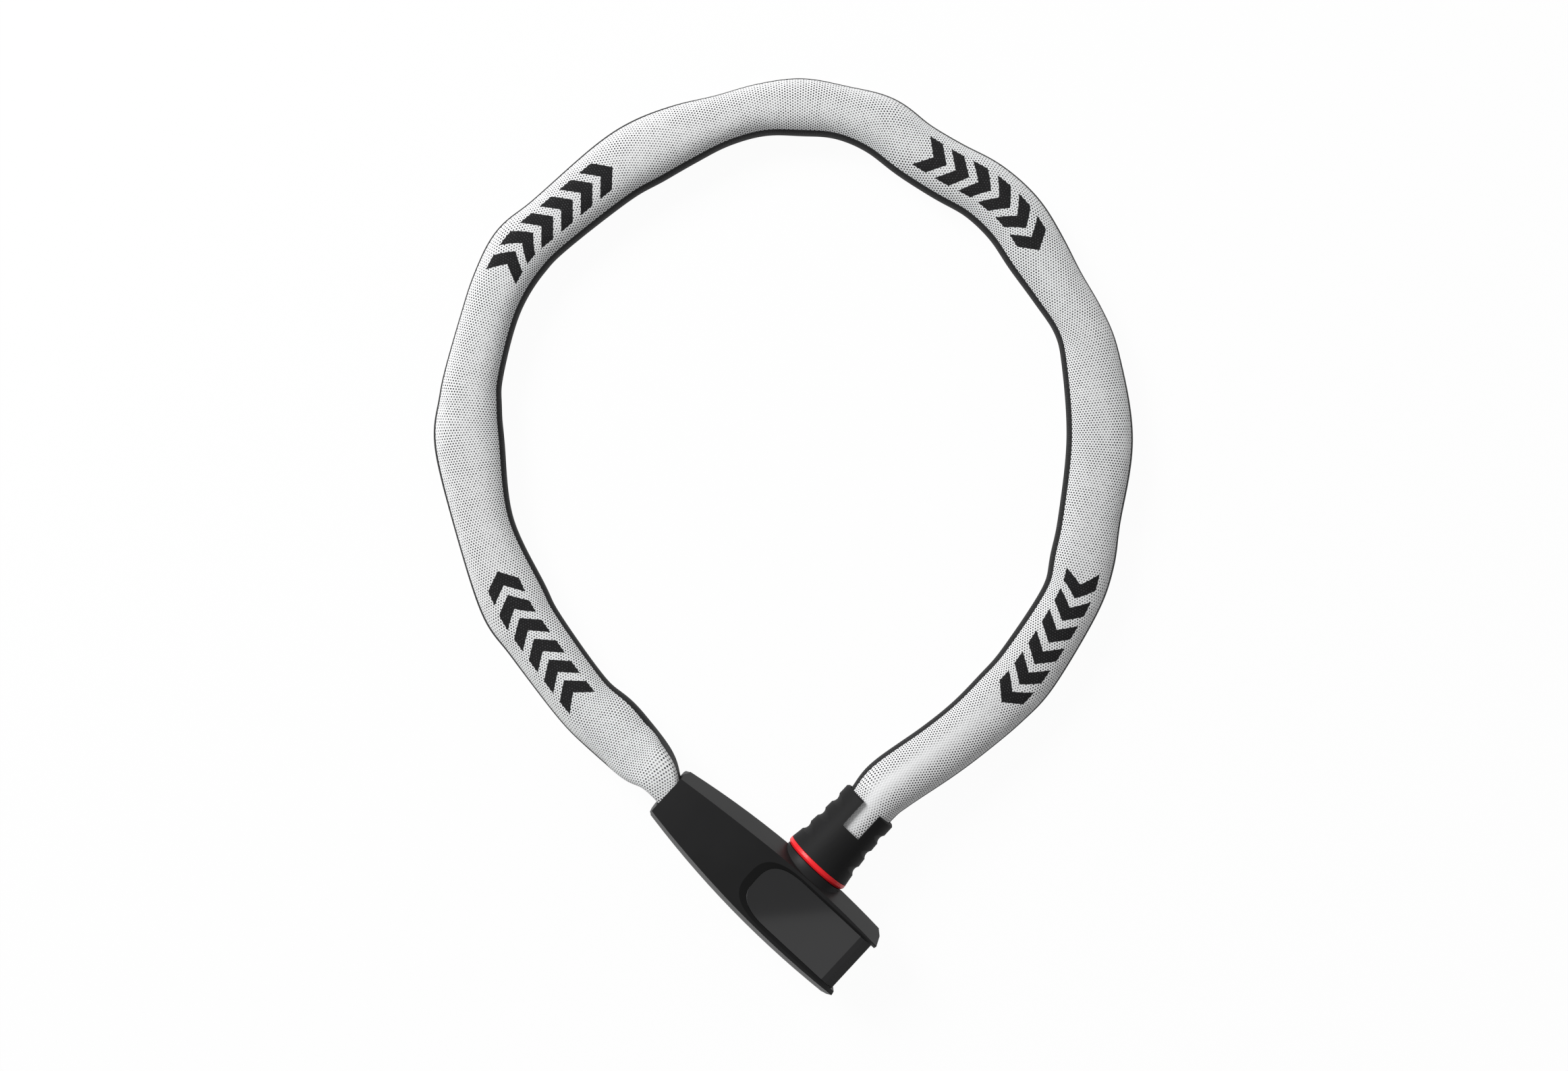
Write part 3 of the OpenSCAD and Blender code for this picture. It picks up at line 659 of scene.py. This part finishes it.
@dataclass
class Plug:
    """The plug: grip, coloured ring, locking pin and the fork for the last link."""

    grip: Moulding = Moulding("grip_plastic", (0.0145, 0.0145, 0.0149), 0.6, depth=0.000008, mottle=0.05, gloss=0.1)
    ring: Moulding = Moulding("red_ring_plastic", (0.86, 0.016, 0.022), 0.42, depth=0.000004, mottle=0.03, coat=0.1)
    steel: Metal = Metal("plug_steel", (0.46, 0.47, 0.49), 0.34, Axis.ALONG_PLUG)
    pin: Metal = Metal("polished_pin", (0.68, 0.69, 0.71), 0.2, Axis.ALONG_PLUG)

    def build(self, dresser: Dresser) -> None:
        """Dresses the plug.

        Args:
            dresser: Keeps the finishes.
        """
        dresser.rounded("plug_grip", self.grip, "plug", 0.4)
        dresser.rounded("red_ring", self.ring, "plug", 0.25)
        for node, recipe in (("plug_pin", self.pin), ("plug_body", self.steel), ("plug_cross_pin", self.pin)):
            dresser.keep(node, recipe)


@dataclass
class Chain:
    """The square-wire links, hidden in the sleeve."""

    count: int
    steel: Metal = Metal("link_steel", (0.44, 0.45, 0.47), 0.36, Axis.UPRIGHT)

    def build(self, dresser: Dresser) -> None:
        """Dresses each link.

        Args:
            dresser: Keeps the finishes.
        """
        for number in range(1, self.count + 1):
            dresser.keep(f"link_{number:02d}", self.steel)


@dataclass
class Sleeve:
    """The woven sleeve, in stretches that each span one pivot of the chain.

    Lengths are in millimetres. Each row of loop holds a place on the middle line, then the sleeve's width and height
    there.
    """

    body_at: tuple[float, float] = (0.53, -135.3)
    turn: float = -42.8
    rest: float = 14.2
    pitch: float = 22.4
    anchor: float = 46.0
    neck: float = 58.6
    neck_in: float = 6.4
    neck_w: float = 10.6
    neck_t: float = 17.7
    mouth_b: float = 47.3
    body_top: float = 33.05
    hook_b: float = 25.5
    plug_w: float = 18.8
    plug_t: float = 17.8
    around: int = 72
    bend: float = 9.0
    open_pivot: int = 16
    pivots: tuple[int, ...] = (2, 5, 8, 11, 14, 19, 22, 25, 28, 31)
    carriers: tuple[str, ...] = ("lock_body", "link_03", "link_06", "link_09", "link_12", "link_15",
                                 "link_19", "link_22", "link_25", "link_28", "link_31", "plug")
    power: float = 2.6
    neck_power: float = 8.0
    neck_square: float = 30.0
    black_inside: float = 4.7
    black_outside: float = 4.7
    black_more: float = 1.6
    black_fade: float = 60.0
    soft: float = 2.6
    ring_step: float = 1.3
    probe_run: float = 0.4
    probe_turn: float = 0.02
    motifs: tuple[float, ...] = (92.0, 263.0, 445.0, 628.0)
    loop: tuple[tuple[float, ...], ...] = (
        (-53, -82, 12.4, 21, 18.3), (-64, -71, 10.8, 24, 18), (-75, -61, 9.6, 23, 17.8),
        (-93, -37, 8.6, 24, 17.1), (-101, -24, 8.4, 26, 16.7), (-112, 4, 8.1, 22, 16.16),
        (-117.5, 34, 8.1, 26, 16.16), (-117.3, 49, 8.1, 23.5, 16.16), (-116.1, 59.3, 8.1, 21.6, 16.16),
        (-111, 79, 8.1, 20.5, 16.16),
        (-106, 93, 8.1, 21.5, 16.16), (-98.2, 106.4, 8.1, 23.5, 16.16), (-87.3, 116.2, 8.1, 22, 16.16),
        (-64, 135.5, 8.1, 24, 16.16), (-51, 143.5, 8.1, 25, 16.16), (-37, 150, 8.1, 22.5, 16.16),
        (-23, 155, 8.1, 18.8, 16.16), (-8.5, 159, 8.1, 19, 16.16), (6.5, 160, 8.1, 21, 16.16),
        (21.5, 158, 8.1, 19.5, 16.16), (36.5, 153, 8.1, 22, 16.16), (48.5, 144, 8.1, 22, 16.16),
        (61.5, 136, 8.1, 22.5, 16.16), (74.6, 128.8, 8.1, 23, 16.16), (85.9, 118.4, 8.1, 23.5, 16.16),
        (94, 106, 8.1, 23, 16.16), (102, 93, 8.1, 20.5, 16.16), (110, 80, 8.1, 19.5, 16.16),
        (114.5, 66, 8.1, 21.5, 16.16), (118, 36, 8.1, 24.5, 16.16), (114, 5.5, 8.1, 23, 16.16),
        (111.5, -9, 8.1, 24, 16.16), (107, -24, 8.2, 22.5, 16.16), (91, -49.5, 9, 23.8, 17),
        (81, -60.5, 9.7, 23.4, 17.8), (70, -70.5, 10.8, 22, 18), (57.5, -80, 12.2, 21.5, 18))
    shift: tuple[float, float] = (0.53, -0.8)

    def __post_init__(self) -> None:
        """Lays out the middle line and its run."""
        rows = [self.at_lock(-self.anchor, 0, self.neck_w, self.neck_t),
                self.at_lock(-self.neck + self.neck_in, 0, self.neck_w, self.neck_t),
                self.at_lock(-self.neck, 0.5, self.neck_w, self.neck_t),
                self.at_lock(-self.neck - 7.5, 2.6, 15.9, self.neck_t + 0.5)]
        rows += [(r[0] + self.shift[0], r[1] + self.shift[1], *r[2:]) for r in self.loop]
        rows += [self.at_lock(0, self.mouth_b + 10, 20.8, 18.4),
                 self.at_lock(0, self.mouth_b, self.plug_w, self.plug_t),
                 self.at_lock(0, self.body_top, self.plug_w, self.plug_t),
                 self.at_lock(0, self.hook_b, self.plug_w, self.plug_t)]
        self.path = self.smooth(np.array(rows, float))
        steps = np.linalg.norm(np.diff(self.path[:, :3], axis=0), axis=1)
        self.run = np.concatenate([[0.0], np.cumsum(steps)])
        self.length = float(self.run[-1])
        self.links = 2 * int(self.length / self.pitch / 2) + 1
        self.step = self.length / self.links
        self.start = self.neck - self.anchor - self.neck_in
        self.end = self.length - (self.body_top - self.hook_b)

    def at_lock(self, a: float, b: float, width: float, height: float) -> tuple[float, ...]:
        """Gives a row of the middle line from a place in the lock body's frame."""
        c, s = math.cos(math.radians(self.turn)), math.sin(math.radians(self.turn))
        return (self.body_at[0] + a * c - b * s, self.body_at[1] + a * s + b * c, self.rest, width, height)

    def smooth(self, rows: np.ndarray, steps: int = 8) -> np.ndarray:
        """Runs a smooth curve through the rows.

        Args:
            rows: The rows, one to a line.
            steps: Points between two rows.

        Returns:
            The curve's points, with width and height.
        """
        last = len(rows) - 1
        points = []
        for i in range(last):
            p, q, r, s = rows[max(i - 1, 0)], rows[i], rows[i + 1], rows[min(i + 2, last)]
            for k in range(steps):
                t = k / steps
                points.append(0.5 * (2 * q + (r - p) * t + (2 * p - 5 * q + 4 * r - s) * t * t
                                     + (3 * q - p - 3 * r + s) * t ** 3))
        return np.array(points + [rows[last]])

    def at(self, run: np.ndarray) -> np.ndarray:
        """Reads the middle line's rows at the given runs."""
        return np.stack([np.interp(run, self.run, self.path[:, c]) for c in range(5)], axis=-1)

    def skin(self, run: np.ndarray, turn: np.ndarray) -> tuple[np.ndarray, np.ndarray]:
        """Gives the cloth's surface.

        Args:
            run: Millimetres along the sleeve.
            turn: The angle round it, in radians, 0 at its left side and a quarter turn at its face.

        Returns:
            The points, and each one's height over the side's middle.
        """
        rows = sum(w * self.at(np.clip(run + d * self.soft, 0, self.length))
                   for d, w in ((-1.0, 0.25), (0.0, 0.5), (1.0, 0.25)))
        ahead = (self.at(np.clip(run + self.soft, 0, self.length))
                 - self.at(np.clip(run - self.soft, 0, self.length)))
        way = ahead[..., :3] / np.linalg.norm(ahead[..., :3], axis=-1, keepdims=True)
        side = np.stack([-way[..., 1], way[..., 0], np.zeros_like(run)], axis=-1)
        side /= np.linalg.norm(side, axis=-1, keepdims=True)
        up = np.cross(way, side)
        half_w, half_t = rows[..., 3] / 2, rows[..., 4] / 2
        c, s = np.cos(turn), np.sin(turn)
        ease = np.clip(1 - (run - self.start) / self.neck_square, 0, 1)
        power = 2 / (self.power + (self.neck_power - self.power) * ease)
        flat = half_w * np.sign(c) * np.abs(c) ** power
        tall = half_t * np.sign(s) * np.abs(s) ** power
        points = rows[..., :3] + side * flat[..., None] + up * tall[..., None]
        return points, tall

    def seams(self) -> list[float]:
        """Finds where the stretches meet, halfway between two pivots or at the open one.

        Returns:
            Their runs, with the sleeve's two ends.
        """
        meets = [self.open_pivot if low < self.open_pivot < high else (low + high) / 2
                 for low, high in zip(self.pivots, self.pivots[1:])]
        return [self.start, *[place * self.step for place in meets], self.end]

    def piece(self, name: str, first: float, last: float, cloth: bpy.types.Material) -> bpy.types.Object:
        """Makes the mesh of one stretch of the sleeve.

        Args:
            name: The piece's name.
            first: The run at which it starts.
            last: The run at which it ends.
            cloth: Its material.

        Returns:
            The new piece.
        """
        rings = max(4, round((last - first) / self.ring_step)) + 1
        run = np.linspace(first, last, rings)
        turn = np.linspace(-math.pi / 2, 1.5 * math.pi, self.around + 1)
        grid_run, grid_turn = np.meshgrid(run, turn, indexing="ij")
        points, tall = self.skin(grid_run, grid_turn)
        d_run = (self.skin(grid_run + self.probe_run, grid_turn)[0]
                 - self.skin(grid_run - self.probe_run, grid_turn)[0])
        d_turn = (self.skin(grid_run, grid_turn + self.probe_turn)[0]
                  - self.skin(grid_run, grid_turn - self.probe_turn)[0])
        normal = np.cross(d_turn, d_run)
        normal /= np.maximum(np.linalg.norm(normal, axis=-1, keepdims=True), 1e-9)
        outward = points - self.at(grid_run)[..., :3]
        normal *= np.sign(np.sum(normal * outward, axis=-1, keepdims=True))
        girth = np.concatenate([np.zeros((rings, 1)),
                                np.cumsum(np.linalg.norm(np.diff(points, axis=1), axis=-1), axis=1)], axis=1)
        across = girth - girth[:, self.around // 2][:, None]
        index = np.arange(rings * (self.around + 1)).reshape(rings, self.around + 1)
        quads = np.stack([index[:-1, :-1], index[:-1, 1:], index[1:, 1:], index[1:, :-1]], axis=-1)
        mesh = bpy.data.meshes.new(name)
        mesh.from_pydata((points.reshape(-1, 3) * MM).tolist(), [], quads.reshape(-1, 4).tolist())
        mesh.materials.append(cloth)
        for polygon in mesh.polygons:
            polygon.use_smooth = True
        corner = np.array([loop.vertex_index for loop in mesh.loops])
        weave = mesh.uv_layers.new(name="weave")
        flat = np.stack([across, grid_run], axis=-1).reshape(-1, 2)[corner]
        weave.data.foreach_set("uv", flat.astype(np.float32).ravel())
        ring = np.repeat(np.arange(rings - 1), 4 * self.around)
        middles = np.array(self.motifs)
        near = middles[np.argmin(np.abs((run[:-1] + run[1:])[:, None] / 2 - middles), axis=1)][ring]
        motif = mesh.uv_layers.new(name="motif")
        local = np.stack([flat[:, 0], flat[:, 1] - near], axis=-1)
        motif.data.foreach_set("uv", local.astype(np.float32).ravel())
        side = mesh.attributes.new("side_mm", "FLOAT", "POINT")
        inside = self.black_inside + self.black_more * np.clip(1 - (grid_run - self.start) / self.black_fade, 0, 1)
        edge = np.where(np.cos(grid_turn) < 0, inside, self.black_outside)
        side.data.foreach_set("value", (np.abs(tall) - edge).astype(np.float32).ravel())
        # Painted highlight and painted shade for the flecks, kept per point.
        state = mesh.attributes.new("cloth", "FLOAT_COLOR", "POINT")
        state.data.foreach_set("color", self.light_and_shade(grid_run, grid_turn).astype(np.float32).ravel())
        mesh.normals_split_custom_set_from_vertices(normal.reshape(-1, 3).tolist())
        made = bpy.data.objects.new(name, mesh)
        bpy.context.collection.objects.link(made)
        return made

    def light_and_shade(self, run: np.ndarray, turn: np.ndarray) -> np.ndarray:
        """Says where the flecks carry painted light: taken out on the lit crest near the plug as a painted highlight,
        and darkened as painted shade.

        Args:
            run: Millimetres along the sleeve.
            turn: The angle round it.

        Returns:
            For each point, the painted highlight that takes out its flecks and the painted shade that darkens them,
            as a colour.
        """
        # Painted highlight: on the lit crest near the plug the flecks are taken out, so it shows white.
        crest = np.exp(-((turn - 1.72) / 0.2) ** 2)
        near_plug = np.clip((run - (self.length - 95.0)) / 60.0, 0, 1)
        crest_highlight = 0.95 * crest * near_plug
        # Painted shade: the flecks darken in a band on the face towards the outer side, most near the plug and
        # varying along the run, and more towards the inner side.
        wave = 0.5 + 0.5 * np.sin(run / 15.0) * np.cos(run / 41.0 + 1.3)
        shade = np.exp(-((turn - 1.2) / 0.35) ** 2)
        inner = np.clip((turn - 1.5) / 1.1, 0, 1)
        painted_shade = np.clip(0.12 + 0.75 * inner + (0.35 + 0.5 * near_plug + 0.25 * wave) * shade, 0, 1)
        return np.stack([crest_highlight, painted_shade, np.zeros_like(run), np.ones_like(run)], axis=-1)

    def place(self, run: float) -> tuple[float, float, float]:
        """Returns the middle line's place at a run, in metres."""
        row = self.at(np.array([run]))[0]
        return (row[0] * MM, row[1] * MM, row[2] * MM)

    def build(self, dresser: Dresser) -> None:
        """Builds every stretch of the sleeve.

        Args:
            dresser: Keeps the finishes.
        """
        cloth = dresser.finish(Cloth())
        seams = self.seams()
        for number, (first, last) in enumerate(zip(seams, seams[1:])):
            made = self.piece(f"sleeve_{number:02d}", first, last, cloth)
            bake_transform(made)
            LOG.info("sleeve stretch %d from %.1f to %.1f mm", number, first, last)
        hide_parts("sleeve")


def main() -> None:
    """Builds the studio, the sleeve, the lock body, the plug and the chain, in that order."""
    logging.basicConfig(level=logging.INFO, format="%(name)s: %(message)s")
    studio = Studio()
    studio.camera()
    studio.build()
    dresser = Dresser()
    sleeve = Sleeve()
    sleeve.build(dresser)
    LockBody().build(dresser)
    Plug().build(dresser)
    Chain(sleeve.links).build(dresser)
    LOG.info("all pieces placed")


if __name__ == "__main__":
    main()
